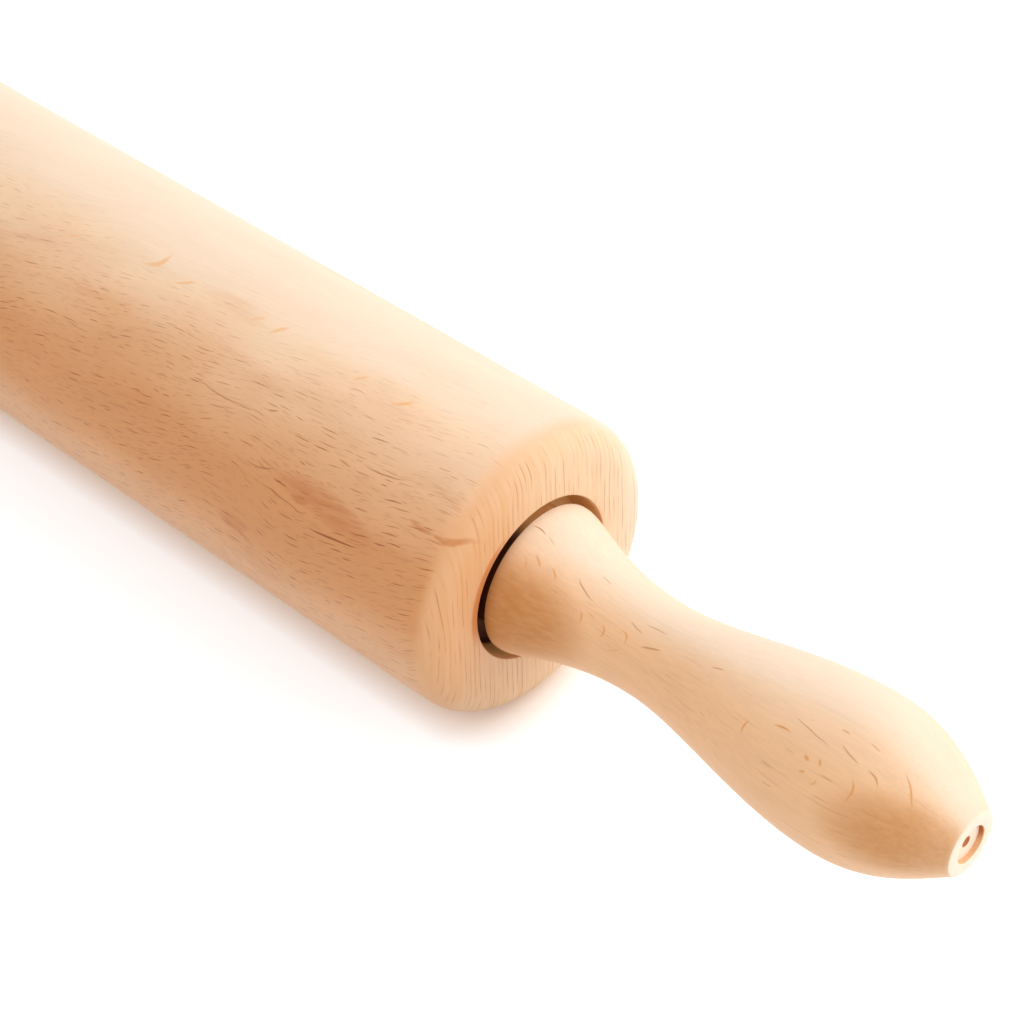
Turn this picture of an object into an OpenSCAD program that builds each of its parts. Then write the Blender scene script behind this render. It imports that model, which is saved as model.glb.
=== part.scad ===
// Rolling pin: a turned beech roller that spins on a steel axle between two beech handles.
// X runs along the pin and Z points up. The origin is the middle of the roller, on its axis.
// The right end is the +X one. The left end mirrors it.

/* [Roller] */
// Diameter of the roller
roller_d = 60; // [50:1:80]
// Length of the roller between its end faces
roller_len = 250; // [180:5:400]
// Radius of the rounding at each end of the roller
roller_edge_r = 6; // [2:0.5:12]
// Depth of the recess that the handle's foot turns in
recess_depth = 8; // [5:0.5:14]
// Width of the running gap between the handle's foot and the recess
recess_gap = 1.5; // [0.5:0.1:3]
// Width of the soft edge round the recess's mouth
recess_edge = 0.8; // [0.1:0.1:1.2]
// Diameter of the hole right through the roller
roller_bore_d = 16; // [15:0.5:18]

/* [Handles] */
// Length of a handle beyond the roller's end face
handle_len = 95; // [92:1:120]
// Diameter of the handle's foot
handle_foot_d = 30; // [27:0.5:34]
// How far the foot's rim stands out of the roller
foot_proud = 0.3; // [0:0.1:2]
// How far the foot's rim runs below the roller's end face
foot_lip = 0.1; // [0.1:0.1:0.5]
// How far the foot's hidden shoulder slopes back behind the rim
foot_shoulder = 1; // [0.4:0.1:1]
// Diameter of the spigot between the foot's shoulder and the spacer
foot_spigot_d = 25; // [16:0.5:26]
// Diameter of the handle at its neck
neck_d = 18.6; // [15:0.2:24]
// Distance of the neck from the roller's end face
neck_at = 28; // [24:0.5:34]
// Diameter of the handle at the thickest part of its grip
grip_d = 30.4; // [26:0.2:36]
// Distance of the grip's thickest part from the roller's end face
grip_at = 71; // [64:0.5:76]
// Diameter of the flat at the handle's tip
tip_d = 12; // [10:0.2:16]
// Slope of the outline where it meets the tip's flat, in degrees
tip_slope = 33; // [10:1:45]
// Length of axle that a handle holds
handle_hold = 60; // [50:1:64]

/* [Handle curve] */
// How far the foot's shoulder runs straight before it bends in
rim_reach = 3.3; // [1:0.1:6]
// Length of the bend from the shoulder to the neck
neck_in_reach = 15.5; // [8:0.5:20]
// Length of the bend from the neck towards the grip
neck_out_reach = 12; // [6:0.5:20]
// Length of the bend from the neck's side into the grip's thickest part
grip_in_reach = 15.7; // [8:0.1:20]
// Length of the bend from the grip's thickest part towards the tip
grip_out_reach = 11.8; // [6:0.1:14]
// Length of the bend that ends at the tip's flat
tip_reach = 7; // [3:0.5:10]

/* [Axle and fasteners] */
// Width of the bevel on the axle's ends
axle_bevel = 0.5; // [0.2:0.1:1]
// Depth of the tapped hole in each end of the axle
tapped_depth = 14; // [13:0.5:20]
// Diameter of the handle screw's thread
screw_d = 4; // [3:0.5:5]
// Length of screw that the axle holds
screw_hold = 12; // [6:0.5:12.5]
// Diameter of the handle screw's head
screw_head_d = 7; // [6.5:0.1:8]
// Height of the handle screw's head
screw_head_h = 4; // [3:0.2:5]
// Width across the flats of the screw's hexagon socket
socket_w = 3; // [2:0.5:4]
// Depth of the screw's hexagon socket
socket_depth = 2; // [1:0.2:2.6]
// Gap round the screw's thread in the handle
screw_gap = 0.25; // [0.1:0.05:0.5]
// Gap round the screw's head in the handle
head_gap = 0.1; // [0.05:0.05:0.4]
// Length of the wooden plug that covers the screw
plug_len = 8.5; // [5:0.5:12]
// How far the plug lies below the handle's tip
plug_sink = 1; // [0.2:0.1:2]
// Diameter of the turning mark in the plug's face
pip_d = 1.7; // [1:0.1:3]
// Outer diameter of the spacer between bearing and handle
spacer_d = 12; // [10:0.2:12.4]
// Thickness of the spacer
spacer_t = 1.5; // [0.5:0.1:2.5]
// Gap between the spacer and the axle
spacer_gap = 0.1; // [0.05:0.05:0.3]
// Outer diameter of the clip that stops the axle sliding
clip_d = 14; // [12:0.5:14.5]
// Thickness of the clip
clip_t = 0.9; // [0.6:0.1:1.4]
// Depth of the groove that holds the clip
clip_groove = 0.5; // [0.3:0.05:1]
// Width of the clip's spring ring
clip_band = 1.8; // [1.2:0.1:2.4]
// Width of the clip's open mouth
clip_mouth = 6.4; // [5:0.1:6.8]
// Width of each prong that bites in the groove
clip_prong = 2.4; // [1.6:0.1:3]
// Spare width of the clip's groove
clip_play = 0.05; // [0.02:0.01:0.1]

/* [Ball bearings] */
// Bore of the bearing, which is the axle's diameter
bearing_bore = 8; // [7.5:0.25:8.5]
// Outer diameter of the bearing
bearing_d = 22; // [21.5:0.25:24]
// Width of the bearing
bearing_w = 7; // [6.4:0.1:9]
// Diameter of a ball
ball_d = 3.969; // [3.5:0.001:4.1]
// Number of balls
ball_count = 7; // [5:1:7]
// Gap between a ball and the races
ball_play = 0.1; // [0.05:0.01:0.15]
// Gap between the shoulders of the two races
race_gap = 2.6; // [2.4:0.1:3]
// Bevel on the races' outer edges
race_bevel = 0.3; // [0.1:0.05:0.4]
// Thickness of the cage that spaces the balls
cage_t = 1.4; // [1:0.1:1.6]
// Width of the cage along the axle
cage_w = 4.8; // [4.6:0.1:5.4]
// Gap between a ball and its pocket in the cage
pocket_play = 0.15; // [0.05:0.05:0.2]
// Thickness of a bearing shield
shield_t = 0.4; // [0.2:0.05:0.5]
// How far a shield lies below the bearing's face
shield_sink = 0.2; // [0.1:0.05:0.3]
// Width of the ledge in the outer race that a shield sits on
shield_ledge = 0.5; // [0.3:0.05:0.7]
// Gap between a shield and the inner race
shield_gap = 0.2; // [0.1:0.05:0.4]

/* [Hidden] */
right = 1;
left = -1;
$fn = 96;

// A cut runs past the face that it opens by this much
cut = 0.5;

// Places along X at the right end
end_x = roller_len / 2;
recess_floor_x = end_x - recess_depth;
bearing_x = recess_floor_x - bearing_w / 2;
bearing_back_x = recess_floor_x - bearing_w;
foot_x = recess_floor_x + spacer_t;
rim_x = end_x + foot_proud;
lip_x = end_x - foot_lip;
neck_x = end_x + neck_at;
grip_x = end_x + grip_at;
tip_x = end_x + handle_len;
axle_end_x = foot_x + handle_hold;
plug_face_x = tip_x - plug_sink;
head_top_x = plug_face_x - plug_len;
head_seat_x = head_top_x - screw_head_h;

// Radii
roller_r = roller_d / 2;
foot_r = handle_foot_d / 2;
spigot_r = foot_spigot_d / 2;
recess_r = foot_r + recess_gap;
neck_r = neck_d / 2;
grip_r = grip_d / 2;
tip_r = tip_d / 2;
axle_r = bearing_bore / 2;
groove_r = axle_r - clip_groove;
plug_r = screw_head_d / 2 + head_gap;
pitch_r = (bearing_bore + bearing_d) / 4;
ball_r = ball_d / 2;
race_groove_r = ball_r + ball_play;
inner_land_r = pitch_r - race_gap / 2;
outer_land_r = pitch_r + race_gap / 2;
ledge_r = outer_land_r + shield_ledge;
ledge_depth = shield_sink + shield_t;

// Straight steps that each bend of the handle's outline is drawn with
bend_steps = 14;

// Directions of the clip's prongs, with its mouth facing 180 degrees
prong_turns = [0, 110, 250];

// Point at t, from 0 to 1, on a curve with two end points and two pull points
function bend_point(p, t) =
    pow(1 - t, 3) * p[0] + 3 * pow(1 - t, 2) * t * p[1]
    + 3 * (1 - t) * t * t * p[2] + t * t * t * p[3];

// The curve's points after its first one
function bend(p) = [for (i = [1 : bend_steps]) bend_point(p, i / bend_steps)];

// Handle outline as [radius, x], from the foot's hidden face to the tip
function handle_outline() = concat(
    [[0, foot_x], [spigot_r, foot_x], [spigot_r, lip_x - foot_shoulder], [foot_r, lip_x], [foot_r, rim_x]],
    bend([
        [foot_r, rim_x],
        [foot_r, rim_x + rim_reach],
        [neck_r, neck_x - neck_in_reach],
        [neck_r, neck_x],
    ]),
    bend([
        [neck_r, neck_x],
        [neck_r, neck_x + neck_out_reach],
        [grip_r, grip_x - grip_in_reach],
        [grip_r, grip_x],
    ]),
    bend([
        [grip_r, grip_x],
        [grip_r, grip_x + grip_out_reach],
        [tip_r + tip_reach * sin(tip_slope), tip_x - tip_reach * cos(tip_slope)],
        [tip_r, tip_x],
    ]),
    [[0, tip_x]]
);

// Places its children at the right end, or mirrored at the left end
module at_end(side) {
    mirror([side == right ? 0 : 1, 0, 0]) children();
}

// Turns a shape drawn along Z so that it lies along X, with its base at x
module along_x(x) {
    translate([x, 0, 0]) rotate([0, 90, 0]) children();
}

// Round bar from x0 to x1
module bar(r, x0, x1) {
    along_x(x0) cylinder(r = r, h = x1 - x0);
}

// Round taper from radius r0 at x0 to radius r1 at x1
module taper(r0, r1, x0, x1) {
    along_x(x0) cylinder(r1 = r0, r2 = r1, h = x1 - x0);
}

// Solid turned from an outline of [radius, x] points
module turned(outline) {
    along_x(0) rotate_extrude() polygon(outline);
}

// Roller blank with a rounding at each end
module roller_blank() {
    edge_x = end_x - roller_edge_r;
    along_x(0) rotate_extrude() union() {
        translate([0, -edge_x]) square([roller_r, 2 * edge_x]);
        translate([0, -end_x]) square([roller_r - roller_edge_r, roller_len]);
        for (side = [left, right])
            translate([roller_r - roller_edge_r, side * edge_x]) intersection() {
                circle(r = roller_edge_r);
                translate([0, side == right ? 0 : -roller_edge_r])
                    square([roller_edge_r, roller_edge_r]);
            }
    }
}

// Turned beech roller with the bearing seats and the handle recesses
module roller() {
    color("burlywood") difference() {
        roller_blank();
        bar(roller_bore_d / 2, -end_x, end_x);
        for (side = [left, right]) at_end(side) {
            bar(bearing_d / 2, bearing_back_x, recess_floor_x + cut);
            bar(recess_r, recess_floor_x, end_x + cut);
            taper(recess_r, recess_r + recess_edge + cut, end_x - recess_edge, end_x + cut);
        }
    }
}

// Steel rod that joins the handles, with a clip groove and a tapped hole at each end
module axle() {
    color("lightsteelblue") difference() {
        turned([
            [0, -axle_end_x],
            [axle_r - axle_bevel, -axle_end_x],
            [axle_r, axle_bevel - axle_end_x],
            [axle_r, axle_end_x - axle_bevel],
            [axle_r - axle_bevel, axle_end_x],
            [0, axle_end_x],
        ]);
        for (side = [left, right]) at_end(side) {
            bar(screw_d / 2, axle_end_x - tapped_depth, axle_end_x + cut);
            difference() {
                bar(axle_r + cut, bearing_back_x - clip_t - clip_play, bearing_back_x);
                bar(groove_r, bearing_back_x - clip_t - clip_play - cut, bearing_back_x + cut);
            }
        }
    }
}

// Turned beech handle, bored for the axle, the screw and the plug
module handle(side) {
    color("navajowhite") at_end(side) difference() {
        turned(handle_outline());
        bar(axle_r, foot_x - cut, axle_end_x);
        bar(screw_d / 2 + screw_gap, axle_end_x - cut, head_seat_x + cut);
        bar(plug_r, head_seat_x, tip_x + cut);
    }
}

// Wooden plug over the screw, with the turning mark in the middle of its face
module end_plug(side) {
    color("wheat") at_end(side) difference() {
        bar(plug_r, head_top_x, plug_face_x);
        taper(0, pip_d / 2 + cut, plug_face_x - pip_d / 2, plug_face_x + cut);
    }
}

// Socket-head screw that pulls the handle onto the axle
module handle_screw(side) {
    color("silver") at_end(side) difference() {
        union() {
            bar(screw_d / 2, axle_end_x - screw_hold, head_seat_x + cut);
            bar(screw_head_d / 2, head_seat_x, head_top_x);
        }
        along_x(head_top_x - socket_depth)
            cylinder(d = socket_w / cos(30), h = socket_depth + cut, $fn = 6);
    }
}

// Ring between the inner race and the handle's foot
module spacer(side) {
    color("ivory") at_end(side) difference() {
        bar(spacer_d / 2, recess_floor_x, foot_x);
        bar(axle_r + spacer_gap, recess_floor_x - cut, foot_x + cut);
    }
}

// Spring clip in the axle's groove, behind the inner race
module axle_clip(side) {
    color("dimgray") at_end(side) along_x(bearing_back_x - clip_t) linear_extrude(clip_t)
        difference() {
            union() {
                difference() {
                    circle(d = clip_d);
                    circle(r = clip_d / 2 - clip_band);
                }
                for (turn = prong_turns)
                    rotate(turn) translate([0, -clip_prong / 2])
                        square([clip_d / 2 - clip_band / 2, clip_prong]);
            }
            circle(r = groove_r);
            translate([-clip_d, -clip_mouth / 2]) square([clip_d, clip_mouth]);
        }
}

// Ring groove that the balls run in
module ball_track() {
    along_x(bearing_x) rotate_extrude() translate([pitch_r, 0]) circle(r = race_groove_r);
}

// Inner ring of the bearing, which turns with the axle
module inner_race(side) {
    color("gainsboro") at_end(side) difference() {
        turned([
            [axle_r, bearing_back_x],
            [inner_land_r - race_bevel, bearing_back_x],
            [inner_land_r, bearing_back_x + race_bevel],
            [inner_land_r, recess_floor_x - race_bevel],
            [inner_land_r - race_bevel, recess_floor_x],
            [axle_r, recess_floor_x],
        ]);
        ball_track();
    }
}

// Outer ring of the bearing, which is pressed into the roller
module outer_race(side) {
    color("lightgray") at_end(side) difference() {
        turned([
            [ledge_r, bearing_back_x],
            [bearing_d / 2 - race_bevel, bearing_back_x],
            [bearing_d / 2, bearing_back_x + race_bevel],
            [bearing_d / 2, recess_floor_x - race_bevel],
            [bearing_d / 2 - race_bevel, recess_floor_x],
            [ledge_r, recess_floor_x],
            [ledge_r, recess_floor_x - ledge_depth],
            [outer_land_r, recess_floor_x - ledge_depth],
            [outer_land_r, bearing_back_x + ledge_depth],
            [ledge_r, bearing_back_x + ledge_depth],
        ]);
        ball_track();
    }
}

// Places its children at each ball's centre
module at_balls() {
    for (i = [0 : ball_count - 1])
        rotate([i * 360 / ball_count, 0, 0]) translate([bearing_x, 0, pitch_r]) children();
}

// Loose steel balls between the races
module balls(side) {
    color("white") at_end(side) at_balls() sphere(d = ball_d);
}

// Ring that keeps the balls evenly spaced
module ball_cage(side) {
    color("goldenrod") at_end(side) difference() {
        bar(pitch_r + cage_t / 2, bearing_x - cage_w / 2, bearing_x + cage_w / 2);
        bar(pitch_r - cage_t / 2, bearing_x - cage_w, bearing_x + cage_w);
        at_balls() sphere(r = ball_r + pocket_play);
    }
}

// Thin ring from x to x + shield_t that closes one face of the bearing
module shield_ring(x) {
    difference() {
        bar(ledge_r, x, x + shield_t);
        bar(inner_land_r + shield_gap, x - cut, x + shield_t + cut);
    }
}

// Shield on the bearing's face towards the handle
module outer_shield(side) {
    color("darkgray") at_end(side) shield_ring(recess_floor_x - ledge_depth);
}

// Shield on the bearing's face towards the middle of the roller
module inner_shield(side) {
    color("darkgray") at_end(side) shield_ring(bearing_back_x + shield_sink);
}

roller();
axle();
handle(right);  // right_handle
handle(left);  // left_handle
end_plug(right);  // right_end_plug
end_plug(left);  // left_end_plug
handle_screw(right);  // right_handle_screw
handle_screw(left);  // left_handle_screw
spacer(right);  // right_spacer
spacer(left);  // left_spacer
axle_clip(right);  // right_axle_clip
axle_clip(left);  // left_axle_clip
inner_race(right);  // right_inner_race
inner_race(left);  // left_inner_race
outer_race(right);  // right_outer_race
outer_race(left);  // left_outer_race
balls(right);  // right_balls
balls(left);  // left_balls
ball_cage(right);  // right_ball_cage
ball_cage(left);  // left_ball_cage
outer_shield(right);  // right_outer_shield
outer_shield(left);  // left_outer_shield
inner_shield(right);  // right_inner_shield
inner_shield(left);  // left_inner_shield
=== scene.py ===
"""A turned beech rolling pin: its wood, its metal parts, and the pale table it lies on."""

import math

import bmesh
import bpy
from bpy.props import FloatProperty, FloatVectorProperty, IntProperty, PointerProperty
from mathutils import Matrix, Vector
from mathutils.geometry import interpolate_bezier


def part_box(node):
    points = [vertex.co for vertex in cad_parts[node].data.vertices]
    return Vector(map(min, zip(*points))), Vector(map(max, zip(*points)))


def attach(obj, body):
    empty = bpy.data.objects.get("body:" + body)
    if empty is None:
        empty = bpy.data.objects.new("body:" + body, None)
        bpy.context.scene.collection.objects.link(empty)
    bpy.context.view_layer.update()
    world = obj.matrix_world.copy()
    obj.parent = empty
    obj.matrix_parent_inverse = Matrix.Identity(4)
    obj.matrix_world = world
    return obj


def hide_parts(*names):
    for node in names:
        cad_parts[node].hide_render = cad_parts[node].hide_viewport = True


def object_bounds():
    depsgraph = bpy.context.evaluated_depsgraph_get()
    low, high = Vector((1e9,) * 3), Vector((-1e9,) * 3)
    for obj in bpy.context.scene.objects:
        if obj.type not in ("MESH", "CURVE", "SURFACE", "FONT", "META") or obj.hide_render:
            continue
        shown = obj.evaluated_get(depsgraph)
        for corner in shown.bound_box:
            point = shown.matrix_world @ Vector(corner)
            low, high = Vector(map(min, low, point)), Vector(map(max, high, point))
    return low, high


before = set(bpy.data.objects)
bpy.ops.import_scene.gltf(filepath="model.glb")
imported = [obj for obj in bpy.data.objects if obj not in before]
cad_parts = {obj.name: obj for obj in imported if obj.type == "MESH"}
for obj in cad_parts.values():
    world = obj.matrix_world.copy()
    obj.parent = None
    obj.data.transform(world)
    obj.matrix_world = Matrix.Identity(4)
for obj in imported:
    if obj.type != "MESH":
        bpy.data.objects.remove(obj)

bl_info = {
    "name": "Beech Rolling Pin",
    "version": (1, 0, 0),
    "blender": (4, 5, 0),
    "location": "3D View > Sidebar > Rolling Pin",
    "description": "Dresses a rolling pin in turned beech, steel and brass",
    "category": "Object",
}

CAD_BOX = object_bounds()
MM = 0.001
RIGHT = 1
LEFT = -1
SIDES = {"right": RIGHT, "left": LEFT}


def radius_of(node):
    """Radius of a round part of the frame, kept inside the box of its many flat faces."""
    return min(abs(value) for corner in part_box(node) for value in corner.yz)


# Places and radii along the pin's right half, in metres
ROLLER_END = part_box("roller")[1].x
ROLLER_RADIUS = radius_of("roller")
FOOT_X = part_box("right_handle")[0].x
TIP_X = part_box("right_handle")[1].x
GRIP_RADIUS = radius_of("right_handle")
SEAT_BACK_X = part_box("right_outer_race")[0].x
SEAT_RADIUS = radius_of("right_outer_race")
AXLE_RADIUS = radius_of("axle")
AXLE_END_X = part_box("axle")[1].x
PLUG_BACK_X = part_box("right_end_plug")[0].x
PLUG_FACE_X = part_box("right_end_plug")[1].x
PLUG_RADIUS = radius_of("right_end_plug")
# Height of the handle screw's head, which sits in the plug's hole
SCREW_HEAD = 4 * MM
SCREW_SEAT_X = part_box("right_handle_screw")[1].x - SCREW_HEAD
FLOOR_Z = CAD_BOX[0].z

# How fine the turned shapes are, and how near two points count as one
EDGE_SEGMENTS = 14
MOUTH_SEGMENTS = 2
TIP_SEGMENTS = 3
SHARP_ANGLE = math.radians(28)
SAME_POINT = 0.0001 * MM
ON_RING = 0.001 * MM

# Directions: across the pin, and towards its worn side, which is also its shaded side, where shade is painted
ACROSS = (0, 1, 1)
WORN_AND_SHADED_WAY = (0, -0.94, 0.34)
# How many cells each seed moves the flecks' grid, and how far noise pulls the placed marks out of line
SEED_STEP = (17.3, 5.9, 0)
MARK_PULL = 0.9 * MM

# Tones of the wood and of painted light, from 1 at its palest, on the side turned to the lamps, to -1, at
# which a colour begins and at which it is full. The dark tone is painted shade on the low side, and the far
# tone is painted floor bounce light underneath.
PALE_TONE = (0.72, 1.0)
CREAM_TONE = (0.45, 0.85)
DARK_TONE = (0.6, 0.05)
BOUNCE_TONE = (-0.1, -0.6)
# Tones between which the flecks turn from full to faint, fading on the side turned to the lamps as a painted
# highlight
FAINT_TONE = (0.4, 0.98)

# Where the traces of turning and wear, the painted shade and light, and a tan band at the top of the
# roller's rounded end lie. Each pair is where a mark begins and where it is full: along the pin, up, out from
# the axis, or towards the worn and shaded side as a length or as a share of the radius.
EDGE_X = (ROLLER_END - 6.5 * MM, ROLLER_END - 2.5 * MM)
EDGE_Z = (21 * MM, 28 * MM)
# The lit and shaded sides of the end face: painted light and painted shade
LIT_END_SIDE = (-6 * MM, -24 * MM)
SHADED_END_SIDE = (0, 24 * MM)
# The crescent at the mouth, on the worn side: wear and painted shade
MOUTH_RADIUS = (18.7 * MM, 18 * MM)
RUBBED_AND_SHADED_SIDE = (0.72, 0.97)
# Inside the recess: painted light near the mouth, painted shade on the low floor and on the shaded side
RECESS_X = (ROLLER_END - 0.3 * MM, ROLLER_END - 1.6 * MM)
RECESS_RADIUS = (16.9 * MM, 16.55 * MM)
RECESS_FLOOR_X = (ROLLER_END - 5.4 * MM, ROLLER_END - 6.6 * MM)
LOW_HALF_Z = (2 * MM, -2 * MM)
SHADED_RECESS_SIDE = (0.4, 0.75)
PLUG_HOLE_X = (TIP_X - 0.15 * MM, TIP_X - 0.3 * MM)
PLUG_HOLE_OUTSIDE = (PLUG_RADIUS + 0.2 * MM, PLUG_RADIUS + 0.05 * MM)
PLUG_HOLE_INSIDE = (PLUG_RADIUS - 0.2 * MM, PLUG_RADIUS - 0.05 * MM)
SHADED_Z = (-2.2 * MM, 0.4 * MM)
PIP_X = (TIP_X - 10 * MM, TIP_X - 5 * MM)
PIP_RADIUS = (1.25 * MM, 0.9 * MM)


def srgb(red, green, blue):
    """Linear colour from red, green and blue between 0 and 255."""
    shares = [value / 255 for value in (red, green, blue)]
    return tuple(s / 12.92 if s <= 0.04045 else ((s + 0.055) / 1.055) ** 2.4 for s in shares)


def length_prop(name, description, default):
    """A length in metres."""
    return FloatProperty(name=name, description=description, default=default, unit="LENGTH", precision=5)


def colour_prop(name, description, default):
    """A colour of a surface."""
    return FloatVectorProperty(
        name=name, description=description, default=default, subtype="COLOR", size=3, min=0, max=1
    )


def share_prop(name, description, default):
    """A share between none and all."""
    return FloatProperty(name=name, description=description, default=default, min=0, max=1, subtype="FACTOR")


class PIN_PG_roller(bpy.types.PropertyGroup):
    """Sizes of the roller that the frame's boxes don't give"""

    edge_radius: length_prop("Edge radius", "Rounding at each end of the roller", 6 * MM)
    recess_depth: length_prop("Recess depth", "Depth of the recess that a handle turns in", 8 * MM)
    recess_radius: length_prop("Recess radius", "Radius of the recess", 16.5 * MM)
    recess_edge: length_prop("Recess edge", "Soft edge round the recess's mouth", 0.8 * MM)
    bore_radius: length_prop("Bore radius", "Radius of the hole right through", 8 * MM)
    steps: IntProperty(name="Steps", description="Faces round the roller", default=192, min=24)


class PIN_PG_handle(bpy.types.PropertyGroup):
    """Sizes of a handle's turned outline"""

    foot_radius: length_prop("Foot radius", "Radius of the foot", 15 * MM)
    foot_lip: length_prop("Foot lip", "How far the rim runs into the recess", 0.1 * MM)
    foot_shoulder: length_prop("Foot shoulder", "Slope of the hidden shoulder behind the rim", 1 * MM)
    spigot_radius: length_prop("Spigot radius", "Radius of the spigot behind the foot", 12.5 * MM)
    foot_proud: length_prop("Foot proud", "How far the rim stands out of the roller", 0.3 * MM)
    neck_radius: length_prop("Neck radius", "Radius at the neck", 9.3 * MM)
    neck_at: length_prop("Neck at", "Distance of the neck from the roller", 28 * MM)
    grip_at: length_prop("Grip at", "Distance of the thickest part from the roller", 71 * MM)
    tip_radius: length_prop("Tip radius", "Radius of the flat at the tip", 6 * MM)
    tip_edge: length_prop("Tip edge", "Soft edge round the flat at the tip", 0.2 * MM)
    tip_slope: FloatProperty(
        name="Tip slope", description="Slope of the outline at the tip's flat",
        default=math.radians(33), subtype="ANGLE",
    )
    rim_reach: length_prop("Rim reach", "Pull of the curve at the rim", 3.3 * MM)
    neck_in_reach: length_prop("Neck in", "Pull of the curve before the neck", 15.5 * MM)
    neck_out_reach: length_prop("Neck out", "Pull of the curve past the neck", 12 * MM)
    grip_in_reach: length_prop("Grip in", "Pull of the curve before the grip", 15.7 * MM)
    grip_out_reach: length_prop("Grip out", "Pull of the curve past the grip", 11.8 * MM)
    tip_reach: length_prop("Tip reach", "Pull of the curve at the tip", 7 * MM)
    screw_hole_radius: length_prop("Screw hole radius", "Radius of the hole for the screw", 2.25 * MM)
    pip_radius: length_prop("Pip radius", "Radius of the mark in the plug's face", 0.85 * MM)
    bend_steps: IntProperty(name="Bend steps", description="Points on each bend", default=28, min=6)
    steps: IntProperty(name="Steps", description="Faces round a handle", default=160, min=24)
    plug_steps: IntProperty(name="Plug steps", description="Faces round a plug", default=64, min=12)


class PIN_PG_beech(bpy.types.PropertyGroup):
    """Colours of the beech"""

    # Pale, cream, tan and the darkest plain colour go round the pin from the side turned to the lamps to the
    # low side: painted light and shade on the wood's own tone
    pale: colour_prop("Pale", "Palest wood, near the board's edge", srgb(246, 218, 190))
    cream: colour_prop("Cream", "Light wood beside the palest", srgb(249, 210, 172))
    tan: colour_prop("Tan", "Wood between light and dark", srgb(237, 181, 133))
    handle_tan: colour_prop("Handle tan", "Plain wood of the handles", srgb(249, 196, 147))
    # Also painted shade on the handle beside the roller
    handle_shade_and_patch: colour_prop("Handle patch", "Soft brown patches of the handles", srgb(198, 125, 46))
    handle_ember: colour_prop("Handle ember", "Wide flecks of the handles", srgb(230, 156, 84))
    # Warm end grain on the end face's shaded side: painted shade
    end_shade_warm: colour_prop("End shade warm", "End grain of the darker wood", srgb(226, 154, 90))
    # Painted light: wood just inside the recess is lighter, where the recess is in shade
    inside: colour_prop("Inside", "Wood just inside the recess", srgb(255, 206, 142))
    handle_line: colour_prop("Handle line", "Thin flecks of the handles", srgb(186, 114, 50))
    end_line: colour_prop("End line", "Thin dark lines in end grain", srgb(196, 116, 62))
    tip_shade: colour_prop("Tip shade", "Wood round the plug and in its pip", srgb(188, 96, 14))
    # Painted shade deep inside the recess, on its low floor and on its shaded side
    recess_shade: colour_prop("Recess shade", "Greasy wood deep inside the recess", srgb(104, 52, 26))
    # Wear and painted shade at the recess's mouth
    rubbed_and_shaded: colour_prop("Rubbed and shaded", "Wood rubbed at the recess's mouth", srgb(212, 126, 64))
    # Darkest plain wood on the low side: painted shade on the wood's own tone
    heart_and_shade: colour_prop("Heart and shade", "Darkest plain wood", srgb(219, 149, 90))
    patch: colour_prop("Patch", "Soft reddish patches", srgb(197, 111, 46))
    ember: colour_prop("Ember", "Wide orange flecks", srgb(244, 184, 126))
    fleck: colour_prop("Fleck", "Thin dark flecks", srgb(160, 76, 14))
    end_pale: colour_prop("End pale", "End grain of the handles", srgb(250, 231, 206))
    end_light: colour_prop("End light", "Light lines in end grain", srgb(244, 209, 171))
    end_dark: colour_prop("End dark", "Dark lines in end grain", srgb(238, 196, 149))
    roughness: share_prop("Roughness", "Roughness of the sanded wood", 0.5)


class PIN_PG_stage(bpy.types.PropertyGroup):
    """Camera, table and lamps"""

    camera_place: FloatVectorProperty(
        name="Camera place", description="Where the camera stands",
        default=(0.35887, -0.25183, 0.29693), subtype="TRANSLATION", unit="LENGTH", precision=5,
    )
    camera_turn: FloatVectorProperty(
        name="Camera turn", description="How the camera is turned",
        default=(math.radians(50.69), 0, math.radians(43.81)), subtype="EULER",
    )
    camera_lens: FloatProperty(
        name="Camera lens", description="Focal length of the camera", default=87.8, subtype="DISTANCE_CAMERA"
    )
    floor_size: length_prop("Floor size", "Width of the floor", 12)
    floor_lift: share_prop("Floor lift", "White that the camera sees on the floor", 0.5)
    floor_shade: share_prop("Floor shade", "Share of that white that the shadow under the pin takes", 0.72)
    floor_light: colour_prop("Floor light", "Light tone of the floor", (0.8, 0.85, 0.9))
    floor_dark: colour_prop("Floor dark", "Dark tone of the floor", (0.78, 0.83, 0.88))
    # Painted shadow: the floor's colour close to the pin, where the ambient occlusion is low
    floor_shadow_tint: colour_prop("Floor close", "Floor close to the pin", (0.82, 0.74, 0.66))
    floor_glow: colour_prop("Floor glow", "Tint of the light on the floor close to the pin", (1, 0.84, 0.7))
    shadow_reach: length_prop("Shadow reach", "How far the soft shadow under the pin reaches", 7.5 * MM)
    lamp_power: FloatProperty(name="Lamp power", description="Power of every lamp", default=1, unit="POWER")
    sky: share_prop("Sky", "Strength of the light from all round", 0.6)
    sky_colour: colour_prop("Sky colour", "Colour of the light from all round", (1, 0.99, 0.98))


# Nodes

def add(tree, kind, inputs=None, **settings):
    """Adds a node, sets it, and joins or sets its inputs."""
    made = tree.nodes.new(kind)
    for name, value in settings.items():
        setattr(made, name, value)
    for key, value in (inputs or {}).items():
        if isinstance(value, bpy.types.NodeSocket):
            tree.links.new(value, made.inputs[key])
        else:
            made.inputs[key].default_value = value
    return made


def calc(tree, operation, *values):
    """Result of a Math node."""
    return add(tree, "ShaderNodeMath", dict(enumerate(values)), operation=operation).outputs[0]


def product(tree, first, *others):
    """Product of several values."""
    for other in others:
        first = calc(tree, "MULTIPLY", first, other)
    return first


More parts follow.
